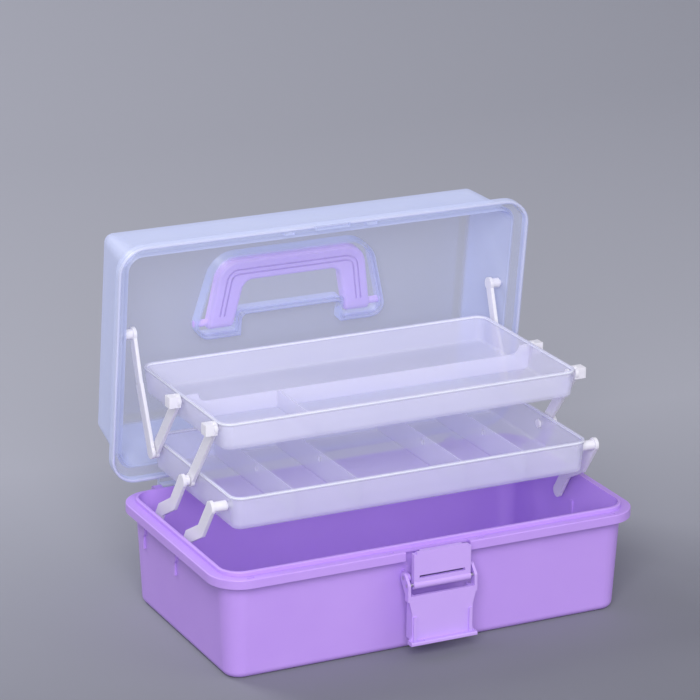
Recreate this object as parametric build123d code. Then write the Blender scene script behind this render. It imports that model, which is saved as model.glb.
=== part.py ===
from build123d import *
import os
from math import atan2, degrees, hypot

os.makedirs("parts", exist_ok=True)

# Sizes in millimetres. The origin is the middle of the base's foot, +X right, +Z up, the front faces -Y.
# Every piece is drawn as it stands with the lid open and the trays raised.

# Base tub
flange_width = 320.0
flange_depth = 181.0
flange_corner = 23.0
flange_overhang = 6.9
flange_skin = 2.0
flange_edge = 1.8
flange_drop = 6.4
base_height = 75.4
lip_height = 3.0
base_wall = 2.2
base_floor = 2.5
base_draft = 4.3
foot_round = 5.0
base_inner_round = 3.0

# Lid, with its handle recess
lid_setback = 0.8
lid_gap = 0.6
lid_corner = 20.0
lid_wall = 2.0
skirt_height = 8.0
ledge_width = 7.5
lid_height = 66.0
lid_draft = 6.6
lid_top_round = 8.0
skirt_round_share = 0.9
lid_open_angle = 83.0

# Lid hinges
hinge_behind = 5.5
hinge_below = 3.6
hinge_radius = 3.5
hinge_pin_radius = 1.5
hinge_inset = 43.5
lid_knuckle = 12.4
base_knuckle = 6.0
knuckle_gap = 0.3

# Carrying handle
handle_end_half = 65.0
handle_flare = 6.0
handle_leg = 20.0
handle_bar = 16.5
handle_reach = 47.5
handle_thick = 10.5
handle_end = 5.0
handle_corner = 17.0
handle_inner_corner = 8.0
handle_round = 2.6
handle_pivot_y = 3.0
handle_pin_radius = 2.6
groove_width = 1.4
groove_depth = 2.0
groove_places = (6.4, 9.9)
recess_depth = 13.0
recess_skin = 2.0
recess_front_room = 5.0
recess_back_room = 7.5
recess_room = 3.2
recess_corner = 20.0
recess_back_corner = 8.0
recess_edge = 4.0
recess_gap_share = 0.484
leg_room = 3.2

# Trays
tray_depth = 140.0
tray_corner = 9.0
tray_draft = 2.0
tray_wall = 1.7
tray_floor = 1.8
tray_round = 3.0
lower_tray_height = 24.0
upper_tray_height = 20.0
divider_wall = 1.4
lower_divider_drop = 3.0
lower_divider_inner = 0.296
lower_divider_outer = 0.65
upper_divider_drop = 6.0
upper_divider_gap = 1.8
upper_divider_rise = 22.0
cross_divider_share = 0.48

# Arms, pins and the places where they turn
base_pivot_y = 4.0
base_pivot_drop = 15.4
lower_pivot_pitch = 54.0
upper_pivot_pitch = 61.0
lower_arm_reach = 48.0
lower_arm_lift = 51.0
lower_arm_width = 9.0
shut_arm_drop = 21.0
lower_arm_crank = 3.6
low_elbow_share = 0.3
high_elbow_share = 0.62
upper_arm_reach = 38.6
upper_arm_lift = 49.5
upper_arm_width = 8.0
lower_pivot_inset = 11.8
lower_pivot_drop = 8.2
upper_pivot_inset = 10.1
upper_pivot_drop = 5.0
arm_thick = 2.5
arm_eye = 4.8
collar_radius = 3.6
head_half = 3.9
layer_gap = 0.5
wall_gap = 1.0
tray_gap = 0.9
base_pin_radius = 2.5
base_pin_depth = 2.7
tray_pin_radius = 2.0
pin_head_radius = 3.1
pin_head_thick = 1.3
boss_radius = 4.6
boss_height = 1.7
boss_rib = 14.0
boss_rib_width = 2.4
link_pivot_behind = 6.0
link_pivot_above = 116.2
link_width = 8.5
link_neck = 7.0
link_bend = 2.1
link_bend_share = 0.42
link_pin_radius = 2.2
stop_rib_ahead = 15.0
stop_rib_drop = 3.0
stop_rib_height = 18.0
stop_rib_width = 4.0

# Front latch
latch_notch = 24.5
notch_floor = 2.2
latch_pivot_in = 0.5
latch_pivot_drop = 18.4
hook_pivot_ahead = 5.0
hook_pivot_below = 4.0
latch_pin_radius = 1.5
hook_pin_radius = 1.3
latch_ear = 2.0
latch_ear_radius = 3.0
latch_side_gap = 0.35
cheek_thick = 2.0
hook_half = 21.5
hook_bar = 4.2
hook_thick = 4.0
hook_rise = 24.0
hook_foot = 3.0
hook_web_height = 17.0
hook_web_thick = 2.2
hook_web_half = 15.8
hook_crossbar = 8.0
hook_lip = 2.0
hook_lip_thick = 1.6
lever_drop = 11.0
lever_share = 0.464
lever_thick = 2.4
lever_waist = 23.0
lever_foot_half = 25.0
lever_ledge = 4.0
lever_ledge_thick = 2.8
lever_side = 6.0
rail_width = 2.2
rail_height = 1.3
pocket_width = 8.5
pocket_depth = 1.5
keeper_half = 13.0
keeper_drop = 3.8
keeper_ridge = 1.5
keeper_ridge_height = 2.1
keeper_thick = 2.0
guide_half = 32.0
guide_width = 8.0
guide_thick = 2.5
guide_height = 7.0
corner_tab = 11.0
slot_length = 5.0
slot_width = 1.6

running = 0.05
small_round = 0.8

# Places worked out from the sizes
flange_half_x = flange_width / 2
flange_half_y = flange_depth / 2
lip_half_x = flange_half_x - flange_overhang
lip_half_y = flange_half_y - flange_overhang
lip_corner = flange_corner - flange_overhang
lip_top = base_height + lip_height
base_taper = degrees(atan2(base_draft, lip_top))
skirt_half_x = flange_half_x - lid_setback
skirt_half_y = flange_half_y - lid_setback
skirt_end = base_height + lid_gap
ledge_top = skirt_end + skirt_height
lid_top = skirt_end + lid_height
lid_taper = degrees(atan2(lid_draft, lid_top - ledge_top))
hinge_y = flange_half_y + hinge_behind
hinge_z = base_height - hinge_below
hinge_middle = flange_half_x - hinge_inset
hinge_axis = Axis((0, hinge_y, hinge_z), (1, 0, 0))
base_pivot_z = base_height - base_pivot_drop
latch_pivot_y = -flange_half_y + latch_pivot_in
latch_pivot_z = base_height - latch_pivot_drop
lever_top_z = latch_pivot_z - lever_drop
lever_foot_z = lever_top_z - lever_share * base_height


def inner_half_x(z):
    """Half the width between the base's side walls at height z."""
    return lip_half_x - base_wall - base_draft * (1 - z / lip_top)


# Pivots as (y, z), with the trays raised
base_front = (base_pivot_y, base_pivot_z)
base_rear = (base_pivot_y + lower_pivot_pitch, base_pivot_z)
lower_front = (base_front[0] - lower_arm_reach, base_front[1] + lower_arm_lift)
lower_middle = (base_rear[0] - lower_arm_reach, base_rear[1] + lower_arm_lift)
lower_rear = (lower_middle[0] + upper_pivot_pitch, lower_middle[1])
upper_front = (lower_middle[0] - upper_arm_reach, lower_middle[1] + upper_arm_lift)
upper_rear = (lower_rear[0] - upper_arm_reach, lower_rear[1] + upper_arm_lift)
link_top = (hinge_y + link_pivot_behind, hinge_z + link_pivot_above)

# Layers beside the trays, from the base's wall inwards. No arm crosses another's pin as the trays fold down.
layer_out = inner_half_x(base_pivot_z - shut_arm_drop) - wall_gap
layer_step = arm_thick + layer_gap
front_arm_out = layer_out
rear_arm_out = front_arm_out - layer_step
link_out = rear_arm_out - layer_step
upper_arm_out = link_out - layer_step
tray_half_x = upper_arm_out - arm_thick - tray_gap


def save(name, shape):
    """Write one piece to its own file."""
    export_step(shape, f"parts/{name}.step")


def block(half_x, half_y, corner, low, high, taper=0.0):
    """An upright block with round corners; a positive taper narrows it upwards."""
    outline = RectangleRounded(2 * half_x, 2 * half_y, corner)
    return extrude(Pos(0, 0, low) * outline, amount=high - low, taper=taper)


def bar(x0, x1, y0, y1, z0, z1):
    """A plain square-edged bar between two corners."""
    return Pos((x0 + x1) / 2, (y0 + y1) / 2, (z0 + z1) / 2) * Box(abs(x1 - x0), abs(y1 - y0), abs(z1 - z0))


def rod(x0, x1, place, radius):
    """A round rod along X from x0 to x1, with its axis at place (y, z)."""
    return extrude(Plane.YZ.offset(x0) * Pos(*place) * Circle(radius), amount=x1 - x0)


def plate(x0, x1, outline):
    """A flat plate from x0 to x1 with an outline drawn in Y and Z."""
    return extrude(Plane.YZ.offset(x0) * outline, amount=x1 - x0)


def strip(points, width):
    """A band of even width along straight runs from point to point, with mitred elbows and square ends."""
    normals = []
    for (y0, z0), (y1, z1) in zip(points, points[1:]):
        run = hypot(y1 - y0, z1 - z0)
        normals.append(((z0 - z1) / run, (y1 - y0) / run))
    near = []
    far = []
    for (y, z), (ny, nz), (my, mz) in zip(points, normals[:1] + normals, normals + normals[-1:]):
        reach = width / 2 / (1 + ny * my + nz * mz)
        near.append((y + (ny + my) * reach, z + (nz + mz) * reach))
        far.append((y - (ny + my) * reach, z - (nz + mz) * reach))
    return make_face(Polyline(*near, *reversed(far), close=True))


def wedge(front_half, back_half, front, back, front_corner, back_corner):
    """A flat outline with round corners that widens or narrows evenly from its front to its back."""
    corners = Sketch()
    for side in (-1, 1):
        corners += Pos(side * (front_half - front_corner), front + front_corner) * Circle(front_corner)
        corners += Pos(side * (back_half - back_corner), back - back_corner) * Circle(back_corner)
    return make_hull(corners.edges())


def between(start, end, along, aside=0.0):
    """The point that lies a share of the way from start to end, moved aside square to that line."""
    dy = end[0] - start[0]
    dz = end[1] - start[1]
    run = hypot(dy, dz)
    return start[0] + dy * along - dz / run * aside, start[1] + dz * along + dy / run * aside


def both_sides(shape):
    """The shape and its mirror image on the other side of the box."""
    return shape + mirror(shape, about=Plane.YZ)


def opened(shape):
    """A piece of the closed lid, swung up to where the open lid stands."""
    return shape.rotate(hinge_axis, -lid_open_angle)


# Base tub: one moulded shell with a turned-down flange, a raised lip, sockets for the arms and hinge lugs.
foot_corner = lip_corner - base_draft
foot_half_x = lip_half_x - base_draft
foot_half_y = lip_half_y - base_draft
shell = block(foot_half_x, foot_half_y, foot_corner, 0, lip_top, -base_taper)
shell = fillet(shell.edges().group_by(Axis.Z)[0], foot_round)
shell = fillet(shell.edges().group_by(Axis.Z)[-1], small_round)
flange = block(flange_half_x, flange_half_y, flange_corner, base_height - flange_drop, base_height)
flange = fillet(flange.edges().group_by(Axis.Z)[-1], small_round)
edge_inside = block(flange_half_x - flange_edge, flange_half_y - flange_edge, flange_corner - flange_edge,
                    base_height - flange_drop, base_height - flange_skin)
tub = shell + (flange - edge_inside)

hollow_half_x = foot_half_x - base_wall + base_draft * base_floor / lip_top
hollow_half_y = foot_half_y - base_wall + base_draft * base_floor / lip_top
hollow = block(hollow_half_x, hollow_half_y, foot_corner - base_wall, base_floor, lip_top, -base_taper)
hollow = fillet(hollow.edges().group_by(Axis.Z)[0], base_inner_round)

wall_in = inner_half_x(base_pivot_z)
wall_out = wall_in + base_wall
socket_end = wall_in + base_pin_depth
for place in (base_front, base_rear):
    boss = rod(wall_in, wall_out + boss_height, place, boss_radius)
    rib = bar(wall_in, wall_out + boss_height / 2,
              place[0] - boss_rib_width / 2, place[0] + boss_rib_width / 2,
              place[1] - boss_rib, place[1])
    tub += both_sides(boss + rib)
tub -= hollow
for place in (base_front, base_rear):
    tub -= both_sides(rod(tray_half_x, socket_end, place, base_pin_radius + running))
stop_rib_y = base_pivot_y - stop_rib_ahead
stop_rib_top = base_pivot_z - stop_rib_drop
stop_rib = bar(front_arm_out + layer_gap, wall_in + base_wall / 2, stop_rib_y - stop_rib_width / 2,
               stop_rib_y + stop_rib_width / 2, stop_rib_top - stop_rib_height, stop_rib_top)
tub += both_sides(stop_rib)

notch = bar(-latch_notch, latch_notch, -flange_half_y, -lip_half_y - notch_floor,
            base_height - flange_drop, base_height)
tub -= notch
slot_y = -(lip_half_y + flange_half_y) / 2
for slot_x in (lip_half_x - lip_corner, latch_notch + slot_length * 2):
    tub -= both_sides(bar(slot_x - slot_length / 2, slot_x + slot_length / 2, slot_y - slot_width / 2,
                          slot_y + slot_width / 2, base_height - flange_drop, base_height))

lug_half = lid_knuckle / 2 + knuckle_gap
for side in (-1, 1):
    for x0 in (-lug_half - base_knuckle, lug_half):
        lug_x = side * hinge_middle + x0
        lug = rod(lug_x, lug_x + base_knuckle, (hinge_y, hinge_z), hinge_radius)
        lug += bar(lug_x, lug_x + base_knuckle, flange_half_y - flange_edge, hinge_y,
                   hinge_z - hinge_radius, hinge_z + hinge_radius - lid_gap / 2)
        tub += lug
tub -= both_sides(rod(hinge_middle - lug_half - base_knuckle, hinge_middle + lug_half + base_knuckle,
                      (hinge_y, hinge_z), hinge_pin_radius + running))

latch_pivot = (latch_pivot_y, latch_pivot_z)
ear_in = hook_half + latch_side_gap
ear_out = ear_in + latch_ear
wall_front = -(foot_half_y + base_draft * latch_pivot_z / lip_top)
ear = rod(ear_in, ear_out, latch_pivot, latch_ear_radius)
ear += bar(ear_in, ear_out, latch_pivot_y, wall_front + base_wall / 2,
           latch_pivot_z - latch_ear_radius, latch_pivot_z + latch_ear_radius)
tub += both_sides(ear)
tub -= rod(-ear_out, ear_out, latch_pivot, latch_pin_radius + running)
save("base_tub", tub)

# Lid: a frosted hood with a stepped skirt, a recess for the handle, hinge knuckles and a latch keeper.
wall_half_x = skirt_half_x - ledge_width
wall_half_y = skirt_half_y - ledge_width
wall_corner = lid_corner - ledge_width
hood = block(wall_half_x, wall_half_y, wall_corner, ledge_top, lid_top, lid_taper)
hood = fillet(hood.edges().group_by(Axis.Z)[-1], lid_top_round)
skirt = block(skirt_half_x, skirt_half_y, lid_corner, skirt_end, ledge_top)
skirt = fillet(skirt.edges().group_by(Axis.Z)[-1], lid_wall * skirt_round_share)
hood += skirt
hood_inside = block(wall_half_x - lid_wall, wall_half_y - lid_wall, wall_corner - lid_wall,
                    ledge_top, lid_top - lid_wall, lid_taper)
hood_inside = fillet(hood_inside.edges().group_by(Axis.Z)[-1], lid_top_round - lid_wall)
hood_inside += block(wall_half_x - lid_wall, wall_half_y - lid_wall, wall_corner - lid_wall,
                     skirt_end, ledge_top)
hood_inside += block(skirt_half_x - lid_wall, skirt_half_y - lid_wall, lid_corner - lid_wall,
                     skirt_end, ledge_top - lid_wall)
hood -= hood_inside

bar_front = handle_pivot_y - handle_reach
bar_back = bar_front + handle_bar
leg_back = handle_pivot_y + handle_end
leg_inside = handle_end_half - handle_leg
handle_bar_half = handle_end_half - handle_flare
recess_back_half = handle_end_half + recess_back_room
recess_gap = recess_gap_share * handle_reach
recess_back = leg_back + leg_room
recess_floor = lid_top - recess_depth


def recess_outline(grow):
    """The outline of the handle's recess, moved outwards all round by grow."""
    outline = wedge(handle_bar_half + recess_front_room + grow, recess_back_half + grow,
                    bar_front - recess_room - grow, recess_back + grow,
                    recess_corner + grow, recess_back_corner + grow)
    gap_half = leg_inside - leg_room - grow
    return outline - wedge(gap_half, gap_half, bar_back + recess_gap + grow, recess_back + recess_gap,
                           recess_edge, recess_edge)


recess_box = extrude(Pos(0, 0, recess_floor - recess_skin) * recess_outline(recess_skin), amount=recess_depth)
recess_box = fillet(recess_box.edges().group_by(Axis.Z)[0], recess_edge - recess_skin / 2)
recess = extrude(Pos(0, 0, recess_floor) * recess_outline(0), amount=recess_depth)
recess = fillet(recess.edges().group_by(Axis.Z)[0], recess_edge - recess_skin / 2)
hood = hood + recess_box - recess
handle_pivot = (handle_pivot_y, lid_top - handle_thick / 2)
pin_reach = recess_back_half + recess_skin
hood -= rod(-pin_reach, pin_reach, handle_pivot, handle_pin_radius + running)

for side in (-1, 1):
    knuckle_x = side * hinge_middle - lid_knuckle / 2
    knuckle = rod(knuckle_x, knuckle_x + lid_knuckle, (hinge_y, hinge_z), hinge_radius)
    arm_top = skirt_end + hinge_radius
    knuckle += bar(knuckle_x, knuckle_x + lid_knuckle, hinge_y - hinge_radius, hinge_y + hinge_radius,
                   hinge_z, arm_top)
    knuckle += bar(knuckle_x, knuckle_x + lid_knuckle, skirt_half_y - lid_wall / 2, hinge_y,
                   skirt_end + lid_gap / 2, arm_top)
    knuckle -= rod(knuckle_x, knuckle_x + lid_knuckle, (hinge_y, hinge_z), hinge_pin_radius + running)
    hood += knuckle

keeper = bar(-keeper_half, keeper_half, -skirt_half_y, -skirt_half_y + keeper_thick,
             skirt_end - keeper_drop, skirt_end + lid_wall)
keeper += bar(-keeper_half, keeper_half, -skirt_half_y - keeper_ridge, -skirt_half_y + keeper_thick,
              skirt_end - keeper_drop, skirt_end - keeper_drop + keeper_ridge_height)
hood += keeper
skirt_in = -skirt_half_y + lid_wall
guide = bar(guide_half - guide_width / 2, guide_half + guide_width / 2, -skirt_half_y + lid_wall / 2,
            skirt_in + guide_thick, skirt_end, skirt_end + guide_height)
hood += both_sides(guide)
hood += bar(-guide_half, guide_half, -skirt_half_y + lid_wall / 2, skirt_in + lid_wall / 2,
            skirt_end + guide_height / 4, skirt_end + guide_height / 2)
tab_reach = lid_corner - lid_wall
tab_out = tab_reach * (1 - 0.5 ** 0.5)
tab = (Pos(skirt_half_x - lid_wall - tab_out, skirt_in + tab_out, skirt_end + guide_height / 2)
       * Rot(0, 0, 45) * Box(corner_tab, guide_thick, guide_height))
hood += both_sides(tab)
lid = opened(hood)
link_hole_end = skirt_half_x
lid -= both_sides(rod(link_out, link_hole_end, link_top, link_pin_radius + running))
save("lid_shell", lid)

# Carrying handle: a U with two wide legs, grip grooves along the bar and a stub pin at the end of each leg.
handle_outline = wedge(handle_bar_half, handle_end_half, bar_front, leg_back + handle_round,
                       handle_corner, handle_round)
handle_plan = handle_outline - wedge(handle_bar_half - handle_leg, leg_inside, bar_back,
                                     leg_back + handle_inner_corner, handle_inner_corner, handle_inner_corner)
handle_plan -= Pos(0, leg_back + handle_reach) * Rectangle(2 * handle_end_half, 2 * handle_reach)
handle = extrude(Pos(0, 0, lid_top - handle_thick) * handle_plan, amount=handle_thick)
leg_ends = handle.edges().filter_by(Axis.X).filter_by(lambda e: e.center().Y > handle_pivot_y)
handle = fillet(leg_ends, handle_thick / 2 - running)
for face in (handle.faces().sort_by(Axis.Z)[0], handle.faces().sort_by(Axis.Z)[-1]):
    handle = fillet(face.edges().filter_by(lambda e: e.center().Y < handle_pivot_y), handle_round)
groove_end = Pos(0, bar_front) * Rectangle(2 * handle_end_half, 2 * handle_reach - 2 * handle_end)
for inwards in groove_places:
    groove = offset(handle_outline, -inwards) - offset(handle_outline, -inwards - groove_width)
    handle -= extrude(Pos(0, 0, lid_top - handle_thick) * (groove & groove_end), amount=groove_depth)
stub = rod(handle_end_half - handle_leg / 2, pin_reach - knuckle_gap, handle_pivot, handle_pin_radius)
handle += both_sides(stub)
save("handle", opened(handle))


def tray(front, rim, height):
    """An open tray with drafted walls and round corners; its rim is at height rim and its front at front."""
    taper = degrees(atan2(tray_draft, height))
    low_x = tray_half_x - tray_draft
    low_y = tray_depth / 2 - tray_draft
    low_corner = tray_corner - tray_draft
    body = block(low_x, low_y, low_corner, 0, height, -taper)
    body = fillet(body.edges().group_by(Axis.Z)[0], tray_round)
    grow = tray_draft * tray_floor / height
    cavity = block(low_x - tray_wall + grow, low_y - tray_wall + grow, low_corner - tray_wall,
                   tray_floor, height, -taper)
    cavity = fillet(cavity.edges().group_by(Axis.Z)[0], tray_round - tray_wall / 2)
    return (Pos(0, front + tray_depth / 2, rim - height) * body,
            Pos(0, front + tray_depth / 2, rim - height) * cavity)


# Lower tray: five compartments between four low dividers.
lower_front_y = lower_front[0] - lower_pivot_inset
lower_rim = lower_front[1] + lower_pivot_drop
lower_body, lower_cavity = tray(lower_front_y, lower_rim, lower_tray_height)
lower_tray = lower_body - lower_cavity
for share in (-lower_divider_outer, -lower_divider_inner, lower_divider_inner, lower_divider_outer):
    x = share * tray_half_x
    wall = bar(x - divider_wall / 2, x + divider_wall / 2, lower_front_y, lower_front_y + tray_depth,
               lower_rim - lower_tray_height + tray_floor / 2, lower_rim - lower_divider_drop)
    lower_tray += wall & lower_body
for place in (lower_front, lower_middle, lower_rear):
    lower_tray -= rod(-tray_half_x, tray_half_x, place, tray_pin_radius + running)
save("lower_tray", lower_tray)

# Upper tray: a long divider that rises to the rim at its ends, and a cross divider in the front part.
upper_front_y = upper_front[0] - upper_pivot_inset
upper_rim = upper_front[1] + upper_pivot_drop
upper_body, upper_cavity = tray(upper_front_y, upper_rim, upper_tray_height)
upper_tray = upper_body - upper_cavity
divider_y = upper_rear[0] - pin_head_radius - upper_divider_gap - divider_wall / 2
divider_low = upper_rim - upper_tray_height + tray_floor / 2
long_wall = bar(-tray_half_x, tray_half_x, divider_y - divider_wall / 2, divider_y + divider_wall / 2,
                divider_low, upper_rim)
dip_half = tray_half_x - upper_divider_rise / 2
dip = bar(-dip_half, dip_half, divider_y - divider_wall, divider_y + divider_wall,
          upper_rim - upper_divider_drop, upper_rim + upper_divider_drop)
dip = fillet(dip.edges().filter_by(Axis.Y).group_by(Axis.Z)[0], upper_divider_drop)
upper_tray += (long_wall - dip) & upper_body
cross_divider_x = -cross_divider_share * tray_half_x
cross_wall = bar(cross_divider_x - divider_wall / 2, cross_divider_x + divider_wall / 2,
                 upper_front_y, divider_y, divider_low, upper_rim - upper_divider_drop)
upper_tray += cross_wall & upper_body
for place in (upper_front, upper_rear):
    upper_tray -= rod(-tray_half_x, tray_half_x, place, tray_pin_radius + running)
save("upper_tray", upper_tray)


def tray_wall_in(rim, height, z):
    """Half the width between a tray's side walls at height z."""
    return tray_half_x - tray_wall - tray_draft * (rim - z) / height


def tray_pin(from_x, rim, height, place):
    """A pin from an arm through a tray's side wall, with a snap head inside the tray."""
    inside = tray_wall_in(rim, height, place[1] + pin_head_radius) - tray_draft * 2 * pin_head_radius / height
    pin = rod(inside - pin_head_thick, from_x, place, tray_pin_radius)
    return pin + rod(inside - pin_head_thick, inside, place, pin_head_radius)


# Lower arms: cranked bars from the base's sockets to the lower tray. The front one lies next to the wall.
lower_arms = {"front": (base_front, lower_front, front_arm_out),
              "rear": (base_rear, lower_middle, rear_arm_out)}
collar_ends = {"front": tray_half_x + knuckle_gap, "rear": upper_arm_out + layer_gap}
for name, (start, end, out) in lower_arms.items():
    low_elbow = between(start, end, low_elbow_share, -lower_arm_crank)
    high_elbow = between(start, end, high_elbow_share, lower_arm_crank)
    outline = strip([start, low_elbow, high_elbow, end], lower_arm_width)
    outline += Pos(*start) * Circle(arm_eye)
    outline += Pos(*end) * Circle(arm_eye)
    arm = plate(out - arm_thick, out, outline)
    arm += rod(out, socket_end - knuckle_gap, start, base_pin_radius)
    arm += tray_pin(out - arm_thick, lower_rim, lower_tray_height, end)
    arm += rod(collar_ends[name], out - arm_thick, end, collar_radius)
    save(f"lower_arm_{name}_right", arm)
    save(f"lower_arm_{name}_left", mirror(arm, about=Plane.YZ))

# Upper arms: straight bars from the lower tray to the upper tray.
# The front pair turns on the lower arms' pins.
upper_arms = {"front": (lower_middle, upper_front), "rear": (lower_rear, upper_rear)}
for name, (start, end) in upper_arms.items():
    outline = strip([start, end], upper_arm_width)
    outline += Pos(*start) * Circle(arm_eye)
    outline += Pos(*end) * Circle(arm_eye)
    upper_arm_in = upper_arm_out - arm_thick
    arm = plate(upper_arm_in, upper_arm_out, outline)
    arm += bar(upper_arm_in, upper_arm_out + 2 * layer_step, end[0] - head_half, end[0] + head_half,
               end[1] - head_half, end[1] + head_half)
    arm += tray_pin(upper_arm_in, upper_rim, upper_tray_height, end)
    if name == "front":
        arm -= rod(upper_arm_in, upper_arm_out, start, tray_pin_radius + running)
    else:
        arm += tray_pin(upper_arm_in, lower_rim, lower_tray_height, start)
    save(f"upper_arm_{name}_right", arm)
    save(f"upper_arm_{name}_left", mirror(arm, about=Plane.YZ))

# Lid links: slightly bent bars from the lid's side walls to the pivots of the rear upper arms.
bend = between(link_top, lower_rear, link_bend_share, link_bend)
link_outline = strip([link_top, bend], link_neck) + strip([bend, lower_rear], link_width)
link_outline += Pos(*link_top) * Circle(arm_eye)
link_outline += Pos(*lower_rear) * Circle(arm_eye)
link = plate(link_out - arm_thick, link_out, link_outline)
link += rod(link_out, layer_out + wall_gap + lid_wall, link_top, link_pin_radius)
link += rod(link_out, layer_out, link_top, collar_radius)
save("lid_link_right", link)
save("lid_link_left", mirror(link, about=Plane.YZ))

# Hinge pins: a short steel pin through the three knuckles on each side.
pin_half = lug_half + base_knuckle
for name, side in (("left", -1), ("right", 1)):
    pin = rod(side * hinge_middle - pin_half, side * hinge_middle + pin_half,
              (hinge_y, hinge_z), hinge_pin_radius)
    save(f"lid_hinge_pin_{name}", pin)

# Latch lever: a flared finger plate with side walls and two cheeks that turn on the base's ears.
hook_pivot = (latch_pivot_y - hook_pivot_ahead, latch_pivot_z - hook_pivot_below)
cheek_in = ear_out + latch_side_gap
cheek_out = cheek_in + cheek_thick
lever_face = hook_pivot[0] - hook_thick / 2 - lever_thick / 2
lever_back = lever_face + lever_thick
finger_plan = make_face(Polyline(
    (-cheek_out, lever_top_z), (-lever_waist, lever_top_z - cheek_out / 2),
    (-lever_waist, lever_foot_z + cheek_thick * 3), (-lever_foot_half, lever_foot_z),
    (lever_foot_half, lever_foot_z), (lever_waist, lever_foot_z + cheek_thick * 3),
    (lever_waist, lever_top_z - cheek_out / 2), (cheek_out, lever_top_z), close=True))
lever = extrude(Plane.XZ.offset(-lever_back) * finger_plan, amount=lever_thick)
ledge = bar(-lever_foot_half, lever_foot_half, lever_face - lever_ledge, lever_back,
            lever_foot_z, lever_foot_z + lever_ledge_thick)
lever += fillet(ledge.edges().filter_by(Axis.X).group_by(Axis.Y)[0], small_round)
side_wall = bar(lever_waist - cheek_thick, lever_waist, lever_back, lever_back + lever_side,
                lever_foot_z + lever_ledge_thick, lever_top_z)
cheek_plan = make_hull((
    Sketch() + Pos(*latch_pivot) * Circle(latch_ear_radius + small_round)
    + Pos(*hook_pivot) * Circle(latch_ear_radius)
    + Pos((lever_face + lever_back) / 2, lever_top_z - cheek_thick) * Circle(lever_thick / 2)).edges())
cheek = plate(cheek_in, cheek_out, cheek_plan)
bridge = bar(lever_waist - cheek_thick, cheek_out, lever_face, lever_back + lever_thick,
             lever_top_z - cheek_thick * 2, lever_top_z)
rail = bar(lever_waist - rail_width - small_round, lever_waist - small_round,
           lever_face - rail_height, lever_face + lever_thick / 2,
           lever_foot_z + lever_ledge_thick / 2, lever_top_z - cheek_out / 2 - cheek_thick)
lever += both_sides(side_wall) + both_sides(cheek) + both_sides(bridge) + both_sides(rail)
pocket_back = lever_face - rail_height - running
pocket = bar(lever_foot_half - cheek_thick - pocket_width, lever_foot_half - cheek_thick,
             pocket_back - pocket_depth, pocket_back,
             lever_foot_z + lever_ledge_thick - pocket_depth, lever_foot_z + lever_ledge_thick)
lever -= both_sides(pocket)
lever -= rod(-cheek_out, cheek_out, latch_pivot, latch_pin_radius + running)
lever -= rod(-cheek_out, cheek_out, hook_pivot, hook_pin_radius + running)
save("latch_lever", lever)

# Latch hook: a frame with a crossbar on the pin and a web whose top edge curls inwards over the keeper.
hook_face = hook_pivot[0] - hook_thick / 2
hook_top = hook_pivot[1] + hook_rise
hook_side = bar(hook_half - hook_bar, hook_half, hook_face, hook_face + hook_thick,
                hook_pivot[1], hook_top - hook_lip_thick)
hook = both_sides(hook_side)
hook += rod(-hook_half, hook_half, hook_pivot, hook_foot)
hook += bar(-hook_half, hook_half, hook_face, hook_face + hook_web_thick,
            hook_pivot[1], hook_pivot[1] + hook_crossbar - hook_foot)
hook += bar(-hook_half + hook_bar / 2, hook_half - hook_bar / 2, hook_face, hook_face + hook_web_thick,
            hook_top - hook_web_height, hook_top)
hook += bar(-hook_web_half, hook_web_half, hook_face, hook_face + hook_web_thick + hook_lip,
            hook_top - hook_lip_thick, hook_top)
hook -= rod(-hook_half, hook_half, hook_pivot, hook_pin_radius + running)
save("latch_hook", hook)

# Latch pins: plain steel rods, one through the base's ears and one through the hook's crossbar.
save("latch_lever_pin", rod(-cheek_out, cheek_out, latch_pivot, latch_pin_radius))
save("latch_hook_pin", rod(-cheek_out, cheek_out, hook_pivot, hook_pin_radius))
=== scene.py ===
import math

import bpy
import numpy as np
from mathutils import Matrix, Vector


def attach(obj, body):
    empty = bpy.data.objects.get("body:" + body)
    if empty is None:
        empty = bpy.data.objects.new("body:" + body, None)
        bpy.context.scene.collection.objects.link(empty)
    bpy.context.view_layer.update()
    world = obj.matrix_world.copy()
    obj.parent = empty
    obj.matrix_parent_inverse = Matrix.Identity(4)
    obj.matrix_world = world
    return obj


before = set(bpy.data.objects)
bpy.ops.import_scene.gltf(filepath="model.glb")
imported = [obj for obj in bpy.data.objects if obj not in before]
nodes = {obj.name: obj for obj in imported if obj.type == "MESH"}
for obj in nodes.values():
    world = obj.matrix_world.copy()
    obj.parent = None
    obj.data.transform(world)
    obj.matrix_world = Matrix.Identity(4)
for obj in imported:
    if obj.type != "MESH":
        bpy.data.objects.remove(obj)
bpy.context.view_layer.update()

scene = bpy.context.scene

# Camera: it stands to the left of the front and looks down a little through a long lens.
# Its place and turn were worked out from the box's own edges in the picture.
picture_px = 700
focal_px = 3293.8
sensor_mm = 36.0
nearest = 0.05
farthest = 30.0
clear_faces = 48
camera_place = Vector((-0.96865, -1.90868, 0.90114))
camera_yaw = math.radians(-26.3565)
camera_pitch = math.radians(18.446)
camera_roll = math.radians(0.5475)

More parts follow.
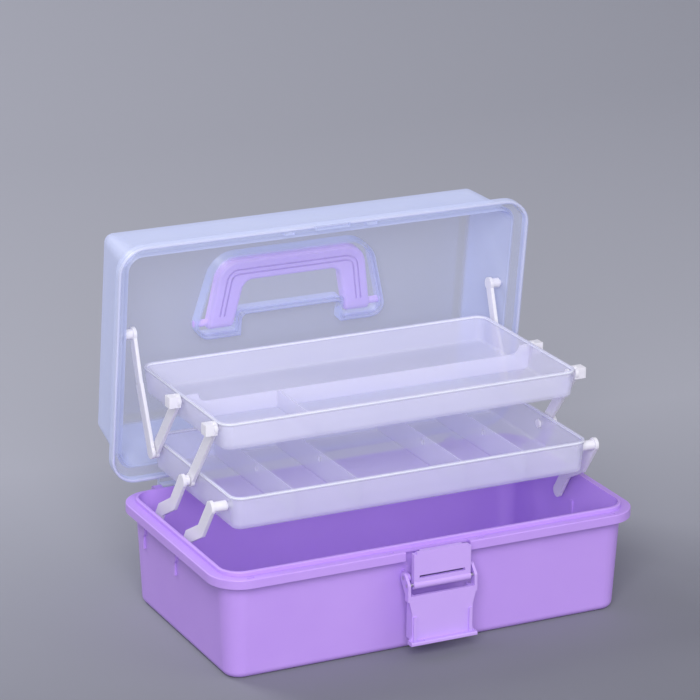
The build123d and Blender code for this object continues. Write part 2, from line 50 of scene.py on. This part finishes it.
flat_right = Vector((math.cos(camera_yaw), math.sin(camera_yaw), 0))
look = Vector((
    -math.sin(camera_yaw) * math.cos(camera_pitch),
    math.cos(camera_yaw) * math.cos(camera_pitch),
    -math.sin(camera_pitch)))
flat_up = flat_right.cross(look)
right = flat_right * math.cos(camera_roll) + flat_up * math.sin(camera_roll)
up = flat_up * math.cos(camera_roll) - flat_right * math.sin(camera_roll)
camera_data = bpy.data.cameras.new("camera")
camera_data.sensor_width = sensor_mm
camera_data.lens = focal_px / picture_px * sensor_mm
camera_data.clip_start = nearest
camera_data.clip_end = farthest
camera = bpy.data.objects.new("camera", camera_data)
camera.matrix_world = Matrix((
    (right.x, up.x, -look.x, camera_place.x),
    (right.y, up.y, -look.y, camera_place.y),
    (right.z, up.z, -look.z, camera_place.z),
    (0, 0, 0, 1)))
scene.collection.objects.link(camera)
scene.camera = camera
scene.view_settings.view_transform = "Standard"
scene.cycles.transparent_max_bounces = clear_faces


# Floor and backdrop: one grey sheet that lies flat under the box and bends up far behind it.
# It is matt paper, graded from a deeper grey at the front to a paler one at the back; the deeper front is
# painted shade.
floor_near_painted_shade = "#62636E"
floor_far = "#A8A9B4"
shade_turn = math.radians(-84)
shade_scale = 1.5
shade_start = 0.5
paper_rough = 0.9
fibre_scale = 400.0
fibre_detail = 3.0
fibre_strength = 0.02
fibre_depth = 0.0002
floor_half = 3.0
bend_start = 1.2
bend_radius = 1.6
sheet_steps = 48


def linear(hex_colour):
    """An sRGB hex colour as linear red, green, blue and alpha: each channel loses the screen's curve."""
    channels = np.array([int(hex_colour[i:i + 2], 16) for i in (1, 3, 5)]) / 255
    low = channels / 12.92
    high = ((channels + 0.055) / 1.055) ** 2.4
    return (*np.where(channels <= 0.04045, low, high), 1.0)


def add_node(tree, kind, settings=None, **inputs):
    """Adds a node with its settings; each input, with _ for a space, gets a value or a link."""
    node = tree.nodes.new(kind)
    for name, value in (settings or {}).items():
        setattr(node, name, value)
    for name, value in inputs.items():
        socket = node.inputs[name.replace("_", " ")]
        if isinstance(value, bpy.types.NodeSocket):
            tree.links.new(value, socket)
        else:
            socket.default_value = value
    return node


def new_material(name):
    """An empty material and its node tree, ready for a shader."""
    material = bpy.data.materials.new(name)
    material.use_nodes = True
    material.node_tree.nodes.clear()
    return material, material.node_tree


def grid_piece(name, points, closed_u=False, closed_v=False):
    """A mesh of quads from a grid of points (rows u, columns v, xyz); a closed way joins its ends."""
    rows, columns = points.shape[:2]
    index = np.arange(rows * columns).reshape(rows, columns)
    u_next = np.roll(index, -1, 0) if closed_u else index[1:]
    u_here = index if closed_u else index[:-1]
    here, ahead = (u_here, u_next) if closed_v else (u_here[:, :-1], u_next[:, :-1])
    here_v = np.roll(u_here, -1, 1) if closed_v else u_here[:, 1:]
    ahead_v = np.roll(u_next, -1, 1) if closed_v else u_next[:, 1:]
    quads = np.stack([here, ahead, ahead_v, here_v], -1).reshape(-1, 4)
    mesh = bpy.data.meshes.new(name)
    mesh.from_pydata(points.reshape(-1, 3).tolist(), [], quads.tolist())
    mesh.shade_smooth()
    piece = bpy.data.objects.new(name, mesh)
    scene.collection.objects.link(piece)
    return piece


floor_paper, tree = new_material("floor_paper")
fibre = add_node(tree, "ShaderNodeTexNoise", Scale=fibre_scale, Detail=fibre_detail)
place = add_node(tree, "ShaderNodeTexCoord")
# The gradient darkens the paper towards the front: painted shade added to the lamps' real shadow.
along = add_node(
    tree, "ShaderNodeMapping", Vector=place.outputs["Object"], Location=(shade_start, 0, 0),
    Rotation=(0, 0, shade_turn), Scale=(shade_scale, shade_scale, shade_scale))
shade = add_node(tree, "ShaderNodeTexGradient", Vector=along.outputs["Vector"])
grey = add_node(
    tree, "ShaderNodeMixRGB", Fac=shade.outputs["Fac"], Color1=linear(floor_near_painted_shade), Color2=linear(floor_far))
fibre_bump = add_node(
    tree, "ShaderNodeBump", Strength=fibre_strength, Distance=fibre_depth, Height=fibre.outputs["Fac"])
paper = add_node(
    tree, "ShaderNodeBsdfPrincipled", Base_Color=grey.outputs["Color"], Roughness=paper_rough,
    Normal=fibre_bump.outputs["Normal"])
add_node(tree, "ShaderNodeOutputMaterial", Surface=paper.outputs["BSDF"])

# The sheet's profile: straight to the bend, a quarter circle, then straight up.
turn = np.linspace(0, math.pi / 2, sheet_steps)
bend_end = bend_start + bend_radius
profile_y = np.concatenate([[-floor_half], bend_start + bend_radius * np.sin(turn), [bend_end]])
profile_z = np.concatenate([[0.0], bend_radius * (1 - np.cos(turn)), [bend_radius + floor_half]])
across = np.array([-floor_half, floor_half])
sheet = np.stack(np.broadcast_arrays(across[None, :], profile_y[:, None], profile_z[:, None]), -1)
floor = grid_piece("floor", sheet)
floor.data.materials.append(floor_paper)

# Light: a broad soft box in front on the left, a weaker one on the right and an even grey room.
# A third one, high behind on the left, throws the box's soft shadow forwards and to the right.
box_middle = (0, 0, 0.1)
key_place = (-0.9, -1.7, 1.15)
key_width = 1.2
key_watts = 38.5
fill_place = (1.5, -1.4, 1.0)
fill_width = 1.4
fill_watts = 8.0
back_place = (-1.2, 1.9, 2.2)
back_width = 1.0
back_watts = 38.0
room_grey = "#EDEEF4"
room_strength = 0.5


def soft_box(name, place, width, watts):
    """A square area lamp at place that shines on the middle of the box."""
    lamp_data = bpy.data.lights.new(name, "AREA")
    lamp_data.size = width
    lamp_data.energy = watts
    lamp = bpy.data.objects.new(name, lamp_data)
    lamp.location = place
    lamp.rotation_euler = (Vector(box_middle) - Vector(place)).to_track_quat("-Z", "Y").to_euler()
    scene.collection.objects.link(lamp)


soft_box("key_box", key_place, key_width, key_watts)
soft_box("fill_box", fill_place, fill_width, fill_watts)
soft_box("back_box", back_place, back_width, back_watts)
world = bpy.data.worlds.new("room")
world.use_nodes = True
room = world.node_tree.nodes["Background"]
room.inputs["Color"].default_value = linear(room_grey)
room.inputs["Strength"].default_value = room_strength
scene.world = world


# Base tub: polypropylene dyed lavender, injection moulded in a finely eroded steel mould.
# That gives a satin skin with an even, very fine grain and slight cloudiness in the dye.
tub_light = "#C49FF1"
tub_deep = "#BB95EB"
mm_per_metre = 1000
plastic_ior = 1.49
cloud_mm = 45.0
cloud_detail = 2.0
grain_mm = 0.35
grain_detail = 1.0
grain_strength = 0.12
grain_depth = 0.00005
satin_low = 0.34
satin_high = 0.46
dye_depth = 0.004
dye_share = 0.08
dye_spread = (1.0, 0.7, 1.0)


def mottle(tree, spot_mm, detail):
    """Noise that stays with the piece, with spots about spot_mm wide; gives the socket of its value."""
    place = add_node(tree, "ShaderNodeTexCoord")
    noise = add_node(
        tree, "ShaderNodeTexNoise", Vector=place.outputs["Object"],
        Scale=mm_per_metre / spot_mm, Detail=detail)
    return noise.outputs["Fac"]


def dyed_polypropylene(name, light, deep):
    """Satin dyed plastic: cloudy dye between two colours, fine mould grain as bump and as roughness."""
    material, tree = new_material(name)
    cloud = mottle(tree, cloud_mm, cloud_detail)
    grain = mottle(tree, grain_mm, grain_detail)
    colour = add_node(tree, "ShaderNodeMixRGB", Fac=cloud, Color1=linear(deep), Color2=linear(light))
    rough = add_node(tree, "ShaderNodeMapRange", Value=grain, To_Min=satin_low, To_Max=satin_high)
    bump = add_node(tree, "ShaderNodeBump", Strength=grain_strength, Distance=grain_depth, Height=grain)
    skin = add_node(
        tree, "ShaderNodeBsdfPrincipled", Base_Color=colour.outputs["Color"],
        Roughness=rough.outputs["Result"], IOR=plastic_ior, Normal=bump.outputs["Normal"],
        Subsurface_Weight=dye_share, Subsurface_Scale=dye_depth, Subsurface_Radius=dye_spread)
    add_node(tree, "ShaderNodeOutputMaterial", Surface=skin.outputs["BSDF"])
    return material


def dress(node, material):
    """Gives a piece that came with the frame its one material."""
    slots = nodes[node].data.materials
    slots.clear()
    slots.append(material)


tub_plastic = dyed_polypropylene("lavender_polypropylene", tub_light, tub_deep)
dress("base_tub", tub_plastic)

# Handle: the same plastic with two grip grooves; its colour is painted paler than the tub's, painted light
# for the glow it gets through the frosted lid.
# It swings on stubs in the lid's recess and is seen through the lid's frosted wall.
handle_painted_light = "#E6CBFF"
handle_painted_light_deep = "#DEC1FF"
handle_plastic = dyed_polypropylene("handle_polypropylene", handle_painted_light, handle_painted_light_deep)
dress("handle", handle_plastic)

# Latch: a finger lever and a hook frame, moulded in the tub's plastic and joined by wire pins.
# It is a touch paler than the tub, as in the picture.
latch_light = "#CBABF4"
latch_deep = "#C1A0EE"
latch_plastic = dyed_polypropylene("latch_polypropylene", latch_light, latch_deep)
dress("latch_lever", latch_plastic)
dress("latch_hook", latch_plastic)

# Lid: undyed polypropylene with a trace of blue, 2 mm thick, moulded with a frosted face.
# Each face scatters a share of the light and lets the rest through, so two faces make one milky wall.
lid_tint = "#DAE1FF"
lid_haze = "#D0D9FF"
lid_cover = 0.09
lid_slant_cover = 0.93
# The rim beads are painted paler and milkier than the walls: a painted highlight for the bright line along a
# frosted rim.
lid_edge_painted_highlight_tint = "#ECEEFF"
lid_edge_painted_highlight_haze = "#E4E7FE"
edge_cover = 0.8
haze_mm = 60.0
haze_detail = 2.0
frost_mm = 0.6
frost_detail = 1.0
frost_strength = 0.08
frost_depth = 0.00005
frost_low = 0.3
frost_high = 0.4
even_blend = 0.5
bead_mm = 1.1
bead_sides = 10
bead_steps = 96
lid_swing = ((96.0, 71.8), -83.0)


def frosted_polypropylene(name, tint, haze, cover, slant_cover):
    """Milky clear plastic: each face covers a share of what lies behind, and more where seen at a slant."""
    material, tree = new_material(name)
    cloud = mottle(tree, haze_mm, haze_detail)
    frost = mottle(tree, frost_mm, frost_detail)
    colour = add_node(tree, "ShaderNodeMixRGB", Fac=cloud, Color1=linear(haze), Color2=linear(tint))
    rough = add_node(tree, "ShaderNodeMapRange", Value=cloud, To_Min=frost_low, To_Max=frost_high)
    bump = add_node(tree, "ShaderNodeBump", Strength=frost_strength, Distance=frost_depth, Height=frost)
    facing = add_node(tree, "ShaderNodeLayerWeight", Blend=even_blend)
    slant = add_node(
        tree, "ShaderNodeMapRange", {"interpolation_type": "SMOOTHSTEP"},
        Value=facing.outputs["Facing"], To_Min=cover, To_Max=slant_cover)
    skin = add_node(
        tree, "ShaderNodeBsdfPrincipled", Base_Color=colour.outputs["Color"],
        Roughness=rough.outputs["Result"], IOR=plastic_ior, Normal=bump.outputs["Normal"],
        Alpha=slant.outputs["Result"])
    add_node(tree, "ShaderNodeOutputMaterial", Surface=skin.outputs["BSDF"])
    return material


def rim_bead(name, material, body, half_x, half_y, middle_y, height, corner, swing=None):
    """A round bead, in mm, along a rim with round corners; swing turns it as the lid is opened."""
    angle = np.linspace(0, 2 * math.pi, bead_steps, endpoint=False)
    side_x = np.where(np.cos(angle) >= 0, 1, -1)
    side_y = np.where(np.sin(angle) >= 0, 1, -1)
    around = np.linspace(0, 2 * math.pi, bead_sides, endpoint=False)
    reach = corner + bead_mm * np.cos(around)[None, :]
    x = (side_x * (half_x - corner))[:, None] + np.cos(angle)[:, None] * reach
    y = middle_y + (side_y * (half_y - corner))[:, None] + np.sin(angle)[:, None] * reach
    z = np.broadcast_to(height + bead_mm * np.sin(around)[None, :], x.shape)
    if swing:
        (axis_y, axis_z), degrees = swing
        cosine = math.cos(math.radians(degrees))
        sine = math.sin(math.radians(degrees))
        dy, dz = y - axis_y, z - axis_z
        y = axis_y + dy * cosine - dz * sine
        z = axis_z + dy * sine + dz * cosine
    points = np.stack([x, y, z], -1)
    bead = grid_piece(name, points / mm_per_metre, closed_u=True, closed_v=True)
    bead.data.materials.append(material)
    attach(bead, body)


lid_plastic = frosted_polypropylene(
    "frosted_lid_polypropylene", lid_tint, lid_haze, lid_cover, lid_slant_cover)
dress("lid_shell", lid_plastic)
# The bead's round shape is the skirt's edge; its bright colour is a painted highlight.
lid_edge = frosted_polypropylene("frosted_lid_edge_painted_highlight", lid_edge_painted_highlight_tint, lid_edge_painted_highlight_haze, edge_cover, edge_cover)
rim_bead(
    "lid_rim_bead", lid_edge, "lid",
    half_x=158.2, half_y=88.7, middle_y=0.0, height=77.1, corner=19.0, swing=lid_swing)

# Trays: the same frosted plastic, thinner and a little milkier, with a bead along each rim whose brighter
# colour is a painted highlight.
# Both have the same outline; each row gives the middle and the top of one tray's rim, in mm.
tray_tint = "#EDEBFF"
tray_haze = "#E4E3FE"
tray_cover = 0.31
tray_slant_cover = 0.42
tray_edge_painted_highlight_tint = "#F2F3FF"
tray_edge_painted_highlight_haze = "#EAECFE"
tray_rims = {"lower_tray": (14.2, 119.2), "upper_tray": (31.3, 165.5)}
tray_plastic = frosted_polypropylene(
    "frosted_tray_polypropylene", tray_tint, tray_haze, tray_cover, tray_slant_cover)
# The tray beads' round shape is the rim's edge; their bright colour is a painted highlight.
tray_edge = frosted_polypropylene("frosted_tray_edge_painted_highlight", tray_edge_painted_highlight_tint, tray_edge_painted_highlight_haze, edge_cover, edge_cover)
for tray, (middle_y, rim) in tray_rims.items():
    dress(tray, tray_plastic)
    rim_bead(
        f"{tray}_rim_bead", tray_edge, tray,
        half_x=134.5, half_y=69.15, middle_y=middle_y, height=rim - bead_mm, corner=8.15)

# Arms and lid links: natural polypropylene, milky white, with the soft gloss of a polished mould.
# Light goes a few millimetres into it, so its edges look soft.
arm_white = "#ECEAF2"
arm_shade = "#E2E0EC"
arm_cloud_mm = 12.0
arm_cloud_detail = 2.0
gloss_low = 0.28
gloss_high = 0.4
milk_depth = 0.004
milk_share = 0.35
milk_spread = (1.0, 0.95, 1.0)
arm_plastic, tree = new_material("milky_polypropylene")
cloud = mottle(tree, arm_cloud_mm, arm_cloud_detail)
colour = add_node(tree, "ShaderNodeMixRGB", Fac=cloud, Color1=linear(arm_shade), Color2=linear(arm_white))
rough = add_node(tree, "ShaderNodeMapRange", Value=cloud, To_Min=gloss_low, To_Max=gloss_high)
skin = add_node(
    tree, "ShaderNodeBsdfPrincipled", Base_Color=colour.outputs["Color"],
    Roughness=rough.outputs["Result"], IOR=plastic_ior,
    Subsurface_Weight=milk_share, Subsurface_Scale=milk_depth, Subsurface_Radius=milk_spread)
add_node(tree, "ShaderNodeOutputMaterial", Surface=skin.outputs["BSDF"])
for node in nodes:
    if node.startswith(("lower_arm", "upper_arm", "lid_link")):
        dress(node, arm_plastic)

# Pins of the hinges and the latch: bright drawn steel wire.
# Drawing leaves faint lines along its length, which show as bands of roughness.
wire_grey = "#C8C8CC"
line_stretch = (40.0, 4000.0, 4000.0)
line_detail = 2.0
drawn_low = 0.2
drawn_high = 0.4
wire, tree = new_material("drawn_steel_wire")
place = add_node(tree, "ShaderNodeTexCoord")
stretch = add_node(tree, "ShaderNodeMapping", Vector=place.outputs["Object"], Scale=line_stretch)
lines = add_node(
    tree, "ShaderNodeTexNoise", Vector=stretch.outputs["Vector"], Scale=1.0, Detail=line_detail)
rough = add_node(
    tree, "ShaderNodeMapRange", Value=lines.outputs["Fac"], To_Min=drawn_low, To_Max=drawn_high)
steel = add_node(
    tree, "ShaderNodeBsdfPrincipled", Base_Color=linear(wire_grey), Metallic=1.0,
    Roughness=rough.outputs["Result"])
add_node(tree, "ShaderNodeOutputMaterial", Surface=steel.outputs["BSDF"])
for node in nodes:
    if "_pin" in node:
        dress(node, wire)
